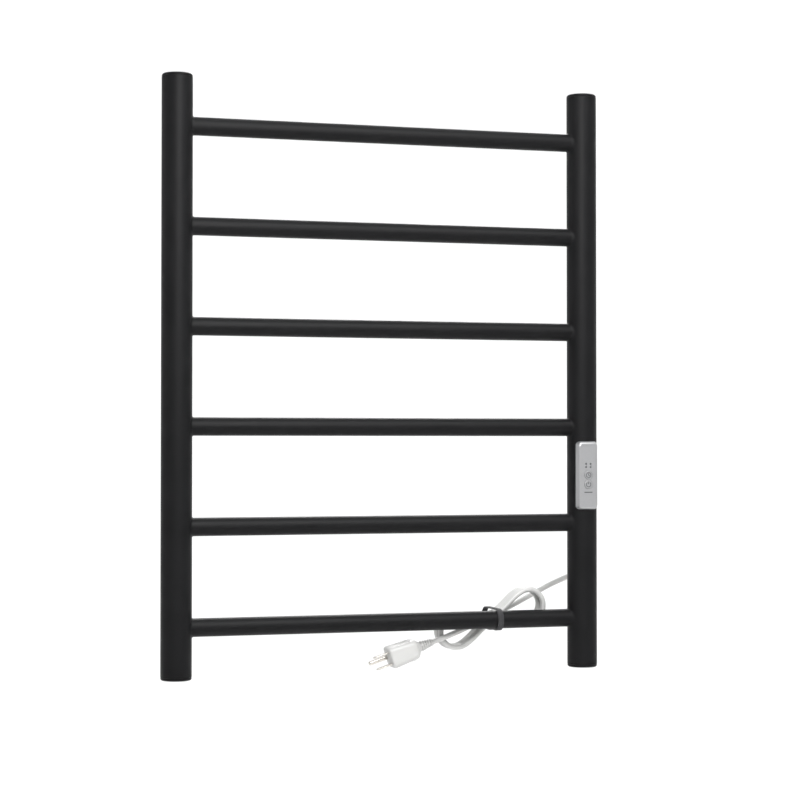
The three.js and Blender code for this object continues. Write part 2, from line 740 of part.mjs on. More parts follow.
// The strap goes round the rail and the hank's waist.
function makeStrap() {
  const halfWidth = 3;
  const innerR = 10.6;
  const thick = 1.3;
  const front = innerR - RAIL_R - GAP;
  const back = 33.6;
  const loop = (radius) => {
    const shape = new THREE.Shape();
    shape.absarc(back, 0, radius, -Math.PI / 2, Math.PI / 2);
    shape.absarc(front, 0, radius, Math.PI / 2, 1.5 * Math.PI);
    shape.closePath();
    return shape;
  };
  const at = [HANK_X, AXIS_Y, railZ(RAIL_COUNT)];
  const outer = prism("x", loop(innerR + thick), 2 * halfWidth, at);
  piece("hank_strap", cut(outer, prism("x", loop(innerR), 4 * halfWidth, at)), strapBlack);
}

function makePlug() {
  const reliefEnd = -90;
  const relief = [
    [0, PLUG_START],
    [3.5, PLUG_START],
    [5.6, reliefEnd],
    [8.5, reliefEnd - 6],
    [0, reliefEnd - 6],
  ];
  const bevel = 2.5;
  const outline = roundedOutline(PLUG_HALF_DEPTH - bevel, PLUG_HALF_HEIGHT - bevel, 5);
  const length = reliefEnd - 3 - PLUG_FACE;
  const block = new THREE.ExtrudeGeometry(outline, {
    depth: length - 2 * bevel,
    bevelThickness: bevel,
    bevelSize: bevel,
    bevelSegments: 2,
    curveSegments: 4,
  });
  block.translate(0, 0, PLUG_FACE + bevel).applyMatrix4(LAYING.x).translate(0, TAIL_V, 0);
  const body = join(solid(block), turned("x", relief, [0, TAIL_V, 0], 16));
  bundle.add(piece("plug_body", body, whitePlastic));
  const bladeEnd = PLUG_FACE - 17.8;
  const spacing = 6.35;
  for (const [name, sign] of [["upper", 1], ["lower", -1]]) {
    const z = sign * spacing;
    const blade = solid(
      new THREE.BoxGeometry(17.5, 6.3, 1.5).translate(bladeEnd + 8.75, TAIL_V - 4, z),
    );
    bundle.add(piece(`plug_blade_${name}`, blade, steel));
  }
  const pin = rod("x", 2.4, PLUG_FACE - 21, PLUG_FACE - GAP, [0, TAIL_V + 7.9, 0], 12);
  bundle.add(piece("plug_earth_pin", pin, steel));
}

makePosts();
makeRails();
makeCaps();
makeBosses();
makeHeating();
makeEarth();
makeShell();
makeCarrier();
makeBoard();
makeLightGuide();
makeButtons();
makeStrainRelief();
makeCordLead();
makeHank();
makeStrap();
makePlug();

export default rack;
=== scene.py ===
"""The towel warmer rack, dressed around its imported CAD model: powder-coated tube work, a silver
push-button controller, and a white mains cord tied in a hank behind the lowest rail.
Lengths are metres. +Z is up, the rack faces -Y and hangs on a wall on its +Y side."""

import math

import bmesh
import bpy
from mathutils import Matrix, Vector


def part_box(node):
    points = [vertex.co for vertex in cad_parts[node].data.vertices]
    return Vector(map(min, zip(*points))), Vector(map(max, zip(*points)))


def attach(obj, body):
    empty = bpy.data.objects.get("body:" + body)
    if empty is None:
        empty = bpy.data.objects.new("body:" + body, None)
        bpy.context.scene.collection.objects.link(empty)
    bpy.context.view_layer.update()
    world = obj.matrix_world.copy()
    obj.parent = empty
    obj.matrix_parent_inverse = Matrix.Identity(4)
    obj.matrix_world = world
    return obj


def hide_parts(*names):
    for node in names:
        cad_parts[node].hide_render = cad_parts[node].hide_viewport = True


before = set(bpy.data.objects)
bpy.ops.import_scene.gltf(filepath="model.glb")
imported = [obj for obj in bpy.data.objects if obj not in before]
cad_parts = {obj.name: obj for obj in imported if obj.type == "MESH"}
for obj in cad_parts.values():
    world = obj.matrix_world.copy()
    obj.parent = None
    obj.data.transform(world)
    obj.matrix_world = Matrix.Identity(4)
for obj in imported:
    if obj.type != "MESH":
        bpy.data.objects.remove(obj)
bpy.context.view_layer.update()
MM = 0.001
BODY = "rack"

# ---------------------------------------------------------------- sizes taken from the frame
POST_LOW, POST_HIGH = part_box("right_post")
POST_X = (POST_LOW.x + POST_HIGH.x) / 2
AXIS_Y = (POST_LOW.y + POST_HIGH.y) / 2
POST_R = (POST_HIGH.x - POST_LOW.x) / 2
TUBE_HALF = POST_HIGH.z
POST_WALL = 1.5 * MM
RAIL_R = 9.5 * MM
RAIL_WALL = 1.2 * MM
RAIL_COUNT = 6


def middle(node):
    low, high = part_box(node)
    return (low + high) / 2


RAIL_Z = [middle(f"rail_{i + 1}").z for i in range(RAIL_COUNT)]
CAP_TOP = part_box("left_top_cap")[1].z
RELIEF_Z = middle("cord_strain_relief").z
CONTROL_LOW, CONTROL_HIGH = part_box("control_bezel")
CONTROL_Z = (CONTROL_LOW.z + CONTROL_HIGH.z) / 2
TIMER_Z = middle("timer_button").z
POWER_Z = middle("power_button").z


# ---------------------------------------------------------------- camera
def make_camera():
    yaw = math.radians(17.08)
    pitch = math.radians(1.2)
    data = bpy.data.cameras.new("camera")
    data.sensor_width = 36
    data.lens = 92.529
    data.clip_end = 50
    camera = bpy.data.objects.new("camera", data)
    bpy.context.scene.collection.objects.link(camera)
    camera.location = (-0.6212, AXIS_Y - 2.0747, -0.0684)
    level = math.cos(pitch)
    forward = Vector((math.sin(yaw) * level, math.cos(yaw) * level, math.sin(pitch)))
    camera.rotation_euler = forward.to_track_quat("-Z", "Y").to_euler()
    bpy.context.scene.camera = camera


make_camera()


# ---------------------------------------------------------------- materials
def new_material(name, color, roughness, metallic=0.0, **sockets):
    """A Principled material, with its node tree, links and shader to add detail to."""
    material = bpy.data.materials.new(name)
    material.use_nodes = True
    shader = material.node_tree.nodes["Principled BSDF"]
    shader.inputs["Base Color"].default_value = (*color, 1)
    shader.inputs["Roughness"].default_value = roughness
    shader.inputs["Metallic"].default_value = metallic
    for socket, value in sockets.items():
        shader.inputs[socket.replace("_", " ")].default_value = value
    return material, material.node_tree, shader


def noise(tree, scale, detail=4.0, roughness=0.5, stretch=(1, 1, 1)):
    """Noise over the piece's own coordinates, in cycles per metre."""
    place = tree.nodes.new("ShaderNodeTexCoord")
    mapping = tree.nodes.new("ShaderNodeMapping")
    mapping.inputs["Scale"].default_value = stretch
    texture = tree.nodes.new("ShaderNodeTexNoise")
    texture.inputs["Scale"].default_value = scale
    texture.inputs["Detail"].default_value = detail
    texture.inputs["Roughness"].default_value = roughness
    tree.links.new(place.outputs["Object"], mapping.inputs["Vector"])
    tree.links.new(mapping.outputs["Vector"], texture.inputs["Vector"])
    return texture.outputs["Fac"]


def spread(tree, source, low, high, start=0.3, end=0.7):
    """source, from start to end, stretched to the range from low to high."""
    ramp = tree.nodes.new("ShaderNodeMapRange")
    ramp.inputs["From Min"].default_value = start
    ramp.inputs["From Max"].default_value = end
    ramp.inputs["To Min"].default_value = low
    ramp.inputs["To Max"].default_value = high
    tree.links.new(source, ramp.inputs["Value"])
    return ramp.outputs["Result"]


def vary_color(tree, shader, source, dark, light):
    mix = tree.nodes.new("ShaderNodeMix")
    mix.data_type = "RGBA"
    mix.inputs[6].default_value = (*dark, 1)
    mix.inputs[7].default_value = (*light, 1)
    tree.links.new(spread(tree, source, 0, 1), mix.inputs[0])
    tree.links.new(mix.outputs[2], shader.inputs["Base Color"])


def vary_roughness(tree, shader, source, low, high):
    tree.links.new(spread(tree, source, low, high), shader.inputs["Roughness"])


def add_bump(tree, shader, source, depth, strength=1.0):
    bump = tree.nodes.new("ShaderNodeBump")
    bump.inputs["Strength"].default_value = strength
    bump.inputs["Distance"].default_value = depth
    tree.links.new(source, bump.inputs["Height"])
    tree.links.new(bump.outputs["Normal"], shader.inputs["Normal"])


def powder_coat():
    """Black coating: a fine orange peel, and slow changes of shade and gloss."""
    material, tree, shader = new_material("black_powder_coat", (0.003, 0.003, 0.0033), 0.5)
    shader.inputs["Specular IOR Level"].default_value = 0.11
    fine = noise(tree, 1400, 3)
    broad = noise(tree, 28, 3)
    add_bump(tree, shader, fine, 0.00005, 0.55)
    vary_roughness(tree, shader, broad, 0.47, 0.54)
    vary_color(tree, shader, broad, (0.0024, 0.0024, 0.0027), (0.0036, 0.0036, 0.004))
    return material


def silver_paint():
    """Satin silver paint on plastic, with fine metal flakes."""
    material, tree, shader = new_material("silver_paint", (0.265, 0.267, 0.272), 0.3, 0.6)
    flakes = noise(tree, 2400, 1)
    broad = noise(tree, 60, 2)
    add_bump(tree, shader, flakes, 0.00001, 0.3)
    vary_roughness(tree, shader, broad, 0.283, 0.32)
    vary_color(tree, shader, flakes, (0.252, 0.254, 0.259), (0.278, 0.28, 0.285))
    return material


def moulded(name, color, roughness, grain=0.00002, wave=0.92):
    """A moulded plastic or rubber: fine spark grain, and slow changes of shade."""
    material, tree, shader = new_material(name, color, roughness)
    broad = noise(tree, 45, 3)
    fine = noise(tree, 2600, 2)
    add_bump(tree, shader, fine, grain, 0.5)
    vary_roughness(tree, shader, broad, roughness * 0.92, min(1, roughness * 1.1))
    vary_color(tree, shader, broad, tuple(c * wave for c in color), color)
    return material


def plated(name, color, roughness):
    """Plated metal with fine scratches across its length."""
    material, tree, shader = new_material(name, color, roughness, 1.0)
    scratches = noise(tree, 900, 4, 0.6, stretch=(1, 1, 6))
    vary_roughness(tree, shader, scratches, roughness * 0.8, roughness * 1.4)
    add_bump(tree, shader, scratches, 0.000008, 0.4)
    return material


def woven():
    """Black webbing with a diagonal weave."""
    material, tree, shader = new_material("strap_webbing", (0.012, 0.012, 0.013), 0.85)
    place = tree.nodes.new("ShaderNodeTexCoord")
    waves = tree.nodes.new("ShaderNodeTexWave")
    waves.bands_direction = "DIAGONAL"
    waves.inputs["Scale"].default_value = 420
    waves.inputs["Distortion"].default_value = 1.5
    tree.links.new(place.outputs["Object"], waves.inputs["Vector"])
    add_bump(tree, shader, waves.outputs["Fac"], 0.00018, 0.8)
    vary_color(tree, shader, waves.outputs["Fac"], (0.008, 0.008, 0.009), (0.02, 0.02, 0.022))
    shader.inputs["Sheen Weight"].default_value = 0.06
    return material


COAT = powder_coat()
SILVER = silver_paint()
PVC = moulded("white_pvc", (0.37, 0.37, 0.363), 0.42)
PLUG_PLASTIC = moulded("white_plug_pvc", (0.37, 0.369, 0.362), 0.38)
BLACK_PLASTIC = moulded("black_plastic", (0.02, 0.02, 0.022), 0.5)
RUBBER = moulded("seal_rubber", (0.016, 0.016, 0.017), 0.75)
CREAM = moulded("cream_plastic", (0.72, 0.7, 0.62), 0.5)
SILICONE = moulded("heater_silicone", (0.3, 0.06, 0.04), 0.55)
BOARD = moulded("solder_mask", (0.02, 0.13, 0.05), 0.3)
EARTH_GREEN = moulded("earth_insulation", (0.3, 0.42, 0.05), 0.45)
FILM = moulded("capacitor_resin", (0.55, 0.36, 0.06), 0.35)
RESIN = moulded("lamp_resin", (0.78, 0.77, 0.68), 0.3)
SMOKED = moulded("smoked_lens", (0.02, 0.021, 0.023), 0.3, 0.000004)
INK = moulded("printed_ink", (0.03, 0.032, 0.035), 0.5, 0.000004)
ZINC = plated("zinc_steel", (0.6, 0.61, 0.62), 0.32)
NICKEL = plated("nickel", (0.45, 0.43, 0.4), 0.25)
BRASS = plated("brass", (0.72, 0.53, 0.25), 0.3)
WEBBING = woven()


# ---------------------------------------------------------------- meshes
def add_object(name, data, material, body=BODY):
    """The piece, painted, riding on its body."""
    data.materials.clear()
    data.materials.append(material)
    piece = bpy.data.objects.new(name, data)
    bpy.context.scene.collection.objects.link(piece)
    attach(piece, body)
    return piece


def grid_mesh(name, rings, closed_along=False, cap_ends=False, sharp=40):
    """A skin over rings of equally many points. closed_along joins the last ring to the
    first."""
    count = len(rings[0])
    vertices = [p for ring in rings for p in ring]
    rows = len(rings) if closed_along else len(rings) - 1
    faces = []
    for i in range(rows):
        a = i * count
        b = (i + 1) % len(rings) * count
        for j in range(count):
            k = (j + 1) % count
            faces.append((a + j, a + k, b + k, b + j))
    if cap_ends:
        faces.append(tuple(reversed(range(count))))
        faces.append(tuple(range(len(vertices) - count, len(vertices))))
    return finish_mesh(name, vertices, faces, sharp)


def finish_mesh(name, vertices, faces, sharp=40):
    """A mesh with its faces turned out, shaded smooth up to the angle sharp, in degrees."""
    mesh = bpy.data.meshes.new(name)
    mesh.from_pydata([tuple(v) for v in vertices], [], faces)
    work = bmesh.new()
    work.from_mesh(mesh)
    bmesh.ops.remove_doubles(work, verts=work.verts, dist=1e-7)
    bmesh.ops.recalc_face_normals(work, faces=work.faces)
    work.to_mesh(mesh)
    work.free()
    mesh.shade_smooth()
    mesh.set_sharp_from_angle(angle=math.radians(sharp))
    return mesh


def circle(radius, sides):
    """Points (x, y) evenly round a circle."""
    steps = [2 * math.pi * j / sides for j in range(sides)]
    return [(radius * math.cos(a), radius * math.sin(a)) for a in steps]


FRAMES = {  # for each axis: the directions of a ring's two coordinates, and the axis
    "x": (Vector((0, 1, 0)), Vector((0, 0, 1)), Vector((1, 0, 0))),
    "y": (Vector((0, 0, 1)), Vector((1, 0, 0)), Vector((0, 1, 0))),
    "z": (Vector((1, 0, 0)), Vector((0, 1, 0)), Vector((0, 0, 1))),
}


def lathe(name, axis, profile, centre, sides=96, sharp=30, closed=True):
    """The (radius, place) profile turned about the axis through centre. A closed profile is a
    ring section; otherwise its two ends lie on the axis or are capped flat."""
    across, up, along = FRAMES[axis]
    rings = []
    for radius, place in profile:
        ring = circle(max(radius, 1e-6), sides)
        rings.append([Vector(centre) + across * a + up * b + along * place for a, b in ring])
    return grid_mesh(name, rings, closed_along=closed, cap_ends=not closed, sharp=sharp)


def arc(centre, radius, start, end, steps):
    """Points (x, y) round an arc, angles in degrees."""
    angles = [math.radians(start + (end - start) * i / steps) for i in range(steps + 1)]
    x, y = centre
    return [(x + radius * math.cos(a), y + radius * math.sin(a)) for a in angles]


def rounded_outline(half_width, half_height, radius, steps=8):
    """Points (x, z) round a rectangle with round corners."""
    points = []
    for x_sign, z_sign, start in ((1, 1, 0), (-1, 1, 90), (-1, -1, 180), (1, -1, 270)):
        corner = (x_sign * (half_width - radius), z_sign * (half_height - radius))
        points += arc(corner, radius, start, start + 90, steps)
    return points


def rounded_box(name, centre, halves, radius):
    """A box whose four edges along Y are rounded."""
    outline = rounded_outline(halves[0], halves[2], radius)
    ends = (-halves[1], halves[1])
    rings = [[Vector(centre) + Vector((x, y, z)) for x, z in outline] for y in ends]
    return grid_mesh(name, rings, cap_ends=True)


def join_meshes(name, meshes, sharp=40):
    """One mesh of them all, each removed in its favour."""
    work = bmesh.new()
    for mesh in meshes:
        work.from_mesh(mesh)
    joined = bpy.data.meshes.new(name)
    work.to_mesh(joined)
    work.free()
    joined.shade_smooth()
    joined.set_sharp_from_angle(angle=math.radians(sharp))
    for mesh in meshes:
        bpy.data.meshes.remove(mesh)
    return joined


def cut_mesh(mesh, cutter, sharp=30):
    """mesh less cutter, both removed in favour of the result."""
    scene = bpy.context.scene
    body = bpy.data.objects.new("cut_body", mesh)
    tool = bpy.data.objects.new("cut_tool", cutter)
    for obj in (body, tool):
        scene.collection.objects.link(obj)
    modifier = body.modifiers.new("cut", "BOOLEAN")
    modifier.operation = "DIFFERENCE"
    modifier.solver = "EXACT"
    modifier.object = tool
    graph = bpy.context.evaluated_depsgraph_get()
    made = bpy.data.meshes.new_from_object(body.evaluated_get(graph))
    made.name = mesh.name + "_cut"
    for obj in (body, tool):
        bpy.data.objects.remove(obj)
    bpy.data.meshes.remove(mesh)
    bpy.data.meshes.remove(cutter)
    made.shade_smooth()
    made.set_sharp_from_angle(angle=math.radians(sharp))
    return made


# ---------------------------------------------------------------- tube work
def make_post(side, sign):
    """A tube with dulled ends. The right one has a window for the controller and a hole for the
    cord's bush."""
    inner = POST_R - POST_WALL
    edge = 0.35 * MM
    section = [
        (POST_R, -TUBE_HALF + edge),
        (POST_R, TUBE_HALF - edge),
        (POST_R - edge, TUBE_HALF),
        (inner, TUBE_HALF),
        (inner, -TUBE_HALF),
        (POST_R - edge, -TUBE_HALF),
    ]
    tube = lathe(f"{side}_post_tube", "z", section, (sign * POST_X, AXIS_Y, 0), 160)
    if side == "right":
        window_place = (POST_X, AXIS_Y - POST_R, CONTROL_Z)
        window_halves = (9 * MM, 14 * MM, 32 * MM)
        bush_place = (POST_X, AXIS_Y + 4 * MM, RELIEF_Z)
        bush_hole = [(4.5 * MM, 0), (4.5 * MM, 30 * MM)]
        tube = cut_mesh(tube, rounded_box("window", window_place, window_halves, 4 * MM))
        tube = cut_mesh(tube, lathe("bush_hole", "y", bush_hole, bush_place, 48, closed=False))
    post = add_object(f"{side}_post_tube", tube, COAT)
    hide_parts(f"{side}_post")


def make_rail(index):
    """A rail with a smooth coated fillet weld round each end, against the post."""
    sides = 96
    fillet = 1.7 * MM
    steps = 6
    sunk = 0.12 * MM  # how far the weld's foot reaches into the post
    ripple = 0.07 * MM
    ripples = 26
    straight_end = POST_X - POST_R - 8 * MM
    z = RAIL_Z[index]

    def ring(sign, radius, stand, bumpy=0.0):
        """A ring of that radius, standing that far off the post's skin."""
        points = []
        for j in range(sides):
            angle = 2 * math.pi * j / sides
            here = radius + bumpy * math.sin(angle * ripples + index + sign)
            y = here * math.cos(angle)
            x = POST_X - math.sqrt(POST_R**2 - y**2) - stand
            points.append((sign * x, AXIS_Y + y, z + here * math.sin(angle)))
        return points

    rings = []
    for sign in (-1, 1):
        weld = []
        for i in range(steps + 1):
            turn = math.radians(90 * i / steps)
            radius = RAIL_R + fillet * (1 - math.cos(turn))
            stand = fillet * (1 - math.sin(turn)) - (sunk if i == steps else 0)
            weld.append(ring(sign, radius, stand, ripple * math.sin(turn)))
        tube = [ring(sign, RAIL_R, fillet * 1.6), ring(sign, RAIL_R, fillet * 1.1)]
        end_x = sign * straight_end
        straight = [(end_x, AXIS_Y + a, z + b) for a, b in circle(RAIL_R, sides)]
        outside = [straight, *tube, *weld, ring(sign, RAIL_R - RAIL_WALL, 0)]
        rings += outside if sign > 0 else outside[::-1]
    name = f"rail_{index + 1}_tube"
    mesh = grid_mesh(name, rings, closed_along=True, sharp=50)
    rail = add_object(name, mesh, COAT)
    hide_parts(f"rail_{index + 1}")


def make_caps():
    """Pressed plugs, welded into the tube ends and coated over."""
    edge = 2.2 * MM
    lip = 0.3 * MM
    depth = 7 * MM
    reach = POST_R - 0.12 * MM
    skirt = POST_R - POST_WALL - 0.2 * MM
    base = TUBE_HALF + 0.15 * MM
    profile = [(0, base - depth), (skirt, base - depth), (skirt, base)]
    profile += [(reach - lip, base), (reach, base + lip)]
    profile += arc((reach - edge, CAP_TOP - edge), edge, 0, 90, 10)
    profile += [(reach * 0.55, CAP_TOP), (0, CAP_TOP)]
    for side, sign in (("left", -1), ("right", 1)):
        for end, up in (("top", 1), ("bottom", -1)):
            name = f"{side}_{end}_plug"
            turned = [(radius, up * place) for radius, place in profile]
            mesh = lathe(name, "z", turned, (sign * POST_X, AXIS_Y, 0), 128, closed=False)
            cap = add_object(name, mesh, COAT)
            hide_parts(f"{side}_{end}_cap")


def make_boss(level, side):
    """A round welded nut with an M8 thread, its rear face against the wall."""
    low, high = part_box(f"{level}_{side}_wall_boss")
    centre_x = (low.x + high.x) / 2
    centre_z = (low.z + high.z) / 2
    outer = (high.x - low.x) / 2
    front = low.y
    back = high.y
    chamfer = 0.8 * MM
    bore = 4 * MM
    root = bore - 0.35 * MM
    pitch = 1.25 * MM
    sides = 72
    shell = [(outer, front), (outer, back - chamfer), (outer - chamfer, back)]
    shell += [(bore + 0.7 * MM, back), (bore + 0.1 * MM, back - 0.5 * MM)]
    rings = [[(radius, y)] * sides for radius, y in shell]
    # The thread, from the mouth inwards, four rings to each of its turns.
    heights = (0, 0.32 * MM, 0.55 * MM, 0.32 * MM)
    y = back - 0.6 * MM
    while y > front + 1.6 * MM:
        radius = root + heights[(len(rings) - len(shell)) % len(heights)]
        rings.append([(radius, y - pitch * j / sides) for j in range(sides)])
        y -= pitch / len(heights)
    rings.append([(bore, front)] * sides)
    placed = []
    for ring in rings:
        turned = []
        for j, (radius, y) in enumerate(ring):
            angle = 2 * math.pi * j / sides
            x = centre_x + radius * math.cos(angle)
            turned.append((x, y, centre_z + radius * math.sin(angle)))
        placed.append(turned)
    name = f"{level}_{side}_welded_nut"
    mesh = grid_mesh(name, placed, closed_along=True, sharp=30)
    boss = add_object(name, mesh, COAT)
    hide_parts(f"{level}_{side}_wall_boss")


for post_side, post_sign in (("left", -1), ("right", 1)):
    make_post(post_side, post_sign)
for rail_index in range(RAIL_COUNT):
    make_rail(rail_index)
make_caps()
for boss_level in ("upper", "lower"):
    for boss_side in ("left", "right"):
        make_boss(boss_level, boss_side)


# ---------------------------------------------------------------- controller
def at_control(u, v, height):
    """A point from the post's axis: u to the right, v back towards the wall, height above the
    controller's centre. All in millimetres."""
    return Vector((POST_X + u * MM, AXIS_Y + v * MM, CONTROL_Z + height * MM))


# The controller in millimetres: v from the post's axis, depths under its face.
FACE_V = 19.1
BASE_HALF = 12.0  # half of the cover's width where it meets the post
FACE_HALF = 10.3  # half of its width at the face
HALF_HEIGHT = 36.6
FLARE_DEPTH = 6.6  # depth at which the sides reach their full width
RIM_CORNER = 4.0
SIDE_EDGE = 0.8
END_EDGE = 3.6
COVER_SEAT = 17.4  # radius of the gasket's outer skin, on which the cover sits
COVER_WALL = 1.6
OPENING_V = -14.0  # where the holes for keys and lenses end
PANEL_HALF = 9.1  # half of the width of the panel set in the face
PANEL_HALF_HEIGHT = 32.4
PANEL_DROP = 0.22
BUTTON_R = 4.4
BUTTON_GAP = 0.32
LAMP_R = 0.95
LAMP_GAP = 0.08
LAMP_DX = 2.6
LAMP_DZ = 1.7
LAMP_HEIGHT = 10.7
BAR_HALF = 4.6
BAR_HEIGHT = -18.1
MARK_WIDTH = 0.75
MARK_RISE = 0.09


def bezel_half_width(depth):
    """Half of the cover's width, that far under its face: flared, with a small round edge."""
    flare = (BASE_HALF - FACE_HALF) * min(1, depth / FLARE_DEPTH)
    return FACE_HALF + flare - rounding(depth, SIDE_EDGE)


def bezel_half_height(depth):
    """Half of its height, that far under its face: straight, with a large round edge."""
    return HALF_HEIGHT - rounding(depth, END_EDGE)


def rounding(depth, radius):
    """How far a round edge has drawn in, depth under the face it runs out in."""
    if depth >= radius:
        return 0
    return radius - math.sqrt(radius**2 - (radius - depth) ** 2)


def bezel_ring(depth, inset=0.0, saddle=0.0):
    """The cover's outline, depth under its face, or on the saddle round the post."""
    wide = bezel_half_width(depth) - inset
    tall = bezel_half_height(depth) - inset
    points = []
    for x, z in rounded_outline(wide, tall, RIM_CORNER - inset, 12):
        v = -math.sqrt(saddle**2 - x**2) if saddle else depth - FACE_V
        points.append(at_control(x, v, z))
    return points


def make_bezel():
    """The cover: flared sides on the post's curve, rounded ends, a panel set in its face."""
    depths = (5.6, 4.6, 3.6, 3.0, 2.4, 1.9, 1.4, 1.0, 0.8, 0.62, 0.46, 0.32, 0.2, 0.11, 0.04, 0)
    outside = [bezel_ring(FLARE_DEPTH, saddle=COVER_SEAT), *map(bezel_ring, depths)]
    bezel = grid_mesh("bezel_form", outside, cap_ends=True, sharp=30)
    hollow = [bezel_ring(depth, inset=COVER_WALL) for depth in (10, FLARE_DEPTH, 3.6, 1.9)]
    outline = rounded_outline(PANEL_HALF, PANEL_HALF_HEIGHT, 1.6)
    recess = [[at_control(x, v, z) for x, z in outline] for v in (-25, PANEL_DROP - FACE_V)]
    tools = [
        grid_mesh("bezel_hollow", hollow, cap_ends=True),
        grid_mesh("panel_recess", recess, cap_ends=True),
    ]
    for z in (TIMER_Z, POWER_Z):
        tools.append(hole_mesh(BUTTON_R + BUTTON_GAP, 0, (z - CONTROL_Z) / MM, 64))
    for u, height in lamp_places():
        tools.append(hole_mesh(LAMP_R + LAMP_GAP, u, height, 32))
    for tool in tools:
        bezel = cut_mesh(bezel, tool)
    cover = add_object("controller_cover", bezel, SILVER)
    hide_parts("control_bezel")


def make_panel_bar():
    """A plain printed bar under the keys."""
    ends = [(-BAR_HALF, BAR_HEIGHT), (BAR_HALF, BAR_HEIGHT)]
    bar = raised_line(ends, 1.1, PANEL_DROP - FACE_V, 0.05)
    add_object("panel_bar", join_meshes("panel_bar", [bar]), INK)


def lamp_places():
    """The four lamps' (u, height)."""
    return [(x * LAMP_DX, LAMP_HEIGHT + z * LAMP_DZ) for x in (-1, 1) for z in (-1, 1)]


def hole_mesh(radius, u, height, sides):
    """A round hole's inside, from the cover's face back through its wall."""
    profile = [(radius * MM, -FACE_V * MM), (radius * MM, OPENING_V * MM)]
    centre = (POST_X + u * MM, AXIS_Y, CONTROL_Z + height * MM)
    return lathe("hole", "y", profile, centre, sides, closed=False)


def make_lens():
    """The smoked light guide: its four round ends show in the cover's face."""
    face = 0.35 - FACE_V
    root = -12.2
    pegs = []
    for u, height in lamp_places():
        dome = [(0, face), (LAMP_R * 0.6, face + 0.05), (LAMP_R * 0.95, face + 0.25)]
        dome += [(LAMP_R, face + 0.5), (LAMP_R, root), (0, root)]
        profile = [(radius * MM, v * MM) for radius, v in dome]
        centre = (POST_X + u * MM, AXIS_Y, CONTROL_Z + height * MM)
        pegs.append(lathe("lens", "y", profile, centre, 32, closed=False))
    plate_halves = (6.2 * MM, 0.45 * MM, 3.6 * MM)
    plate = rounded_box("plate", at_control(0, -16.75, LAMP_HEIGHT), plate_halves, 0.8 * MM)
    mesh = join_meshes("smoked_light_guide", [*pegs, plate])
    lens = add_object("smoked_light_guide", mesh, SMOKED)
    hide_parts("light_guide")


def raised_line(points, width, base, rise, closed=False):
    """A raised line of that width through (u, height) points, on the plane v = base."""
    line = [Vector(point) for point in points]
    last = len(line) - 1
    rings = []
    for i, here in enumerate(line):
        before = line[i - 1] if closed or i else here
        after = line[(i + 1) % len(line)] if closed or i < last else here
        leg = after - here if after != here else here - before
        # A corner's side is drawn out, so that the line keeps its width on both legs.
        side = (after - before).normalized().orthogonal()
        side *= width / 2 / max(0.4, abs(side.dot(leg.normalized().orthogonal())))
        left, right = here + side, here - side
        front, back = base - rise, base + 0.1
        section = [(left, back), (left, front), (right, front), (right, back)]
        rings.append([at_control(place.x, v, place.y) for place, v in section])
    if closed:
        rings = [list(strip) for strip in zip(*rings)]
    return grid_mesh("mark", rings, closed_along=closed, cap_ends=not closed, sharp=30)


def make_symbol(name, height, base):
    """A clock or a power sign, printed thick on the key at that height."""
    if name == "timer":
        dial = arc((0, height), 2.6, 0, 360, 48)[:-1]
        hands = [(0, height + 1.8), (0, height - 0.1), (1.4, height - 0.9)]
        marks = [
            raised_line(dial, MARK_WIDTH, base, MARK_RISE, closed=True),
            raised_line(hands, 0.7, base, MARK_RISE),
        ]
    else:
        bow = arc((0, height), 2.5, 125, 415, 40)
        stroke = [(0, height + 3.1), (0, height + 0.4)]
        marks = [raised_line(line, MARK_WIDTH, base, MARK_RISE) for line in (bow, stroke)]
    return join_meshes(f"{name}_symbol", marks)


def make_button(name, z):
    """A round key with a soft edge, a slight dish and a foot that rides on its switch."""
    body = f"{name}_key"
    front = -(FACE_V + 0.4)
    edge = 0.55
    flat = BUTTON_R - edge
    flange, flange_front, flange_back = 4.85, -17.2, -16.3
    foot, foot_back = 1.7, -14.3
    profile = [(0, front + 0.18), (BUTTON_R * 0.5, front + 0.15)]
    profile += [(BUTTON_R * 0.8, front + 0.04), (flat + 0.02, front)]
    for turn in (math.radians(15 * i) for i in range(1, 7)):
        profile.append((flat + edge * math.sin(turn), front + edge * (1 - math.cos(turn))))
    profile += [(BUTTON_R, flange_front), (flange, flange_front), (flange, flange_back)]
    profile += [(foot, flange_back), (foot, foot_back), (0, foot_back)]
    turned = [(radius * MM, v * MM) for radius, v in profile]
    mesh = lathe(f"{name}_cap", "y", turned, (POST_X, AXIS_Y, z), 96, closed=False)
    button = add_object(f"{name}_cap", mesh, SILVER, body)
    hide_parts(f"{name}_button")
    symbol = make_symbol(name, (z - CONTROL_Z) / MM, front + 0.12)
    add_object(f"{name}_symbol", symbol, INK, body)


def make_seal():
    """A rubber gasket bent round the post, under the cover's rim."""
    outside = rounded_outline(BASE_HALF + 0.05, HALF_HEIGHT + 0.05, RIM_CORNER, 10)
    inside = rounded_outline(BASE_HALF - 2.3, HALF_HEIGHT - 4.2, 2.5, 10)
    under = 16.1
    section = [(outside, under), (outside, 17.35), (inside, 17.2), (inside, under)]
    rings = []
    for points, radius in section:
        rings.append([at_control(x, -math.sqrt(radius**2 - x**2), z) for x, z in points])
    mesh = grid_mesh("gasket", rings, closed_along=True)
    gasket = add_object("gasket", mesh, RUBBER)
    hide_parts("control_seal")


make_bezel()
make_panel_bar()
make_lens()
make_button("timer", TIMER_Z)
make_button("power", POWER_Z)
make_seal()


# ---------------------------------------------------------------- mains cord
CORD_D = 5.6 * MM
TILT = math.radians(18)
STRAP_X = 126 * MM
BUNDLE = Matrix.Translation((STRAP_X, AXIS_Y, RAIL_Z[-1])) @ Matrix.Rotation(-TILT, 4, "Y")

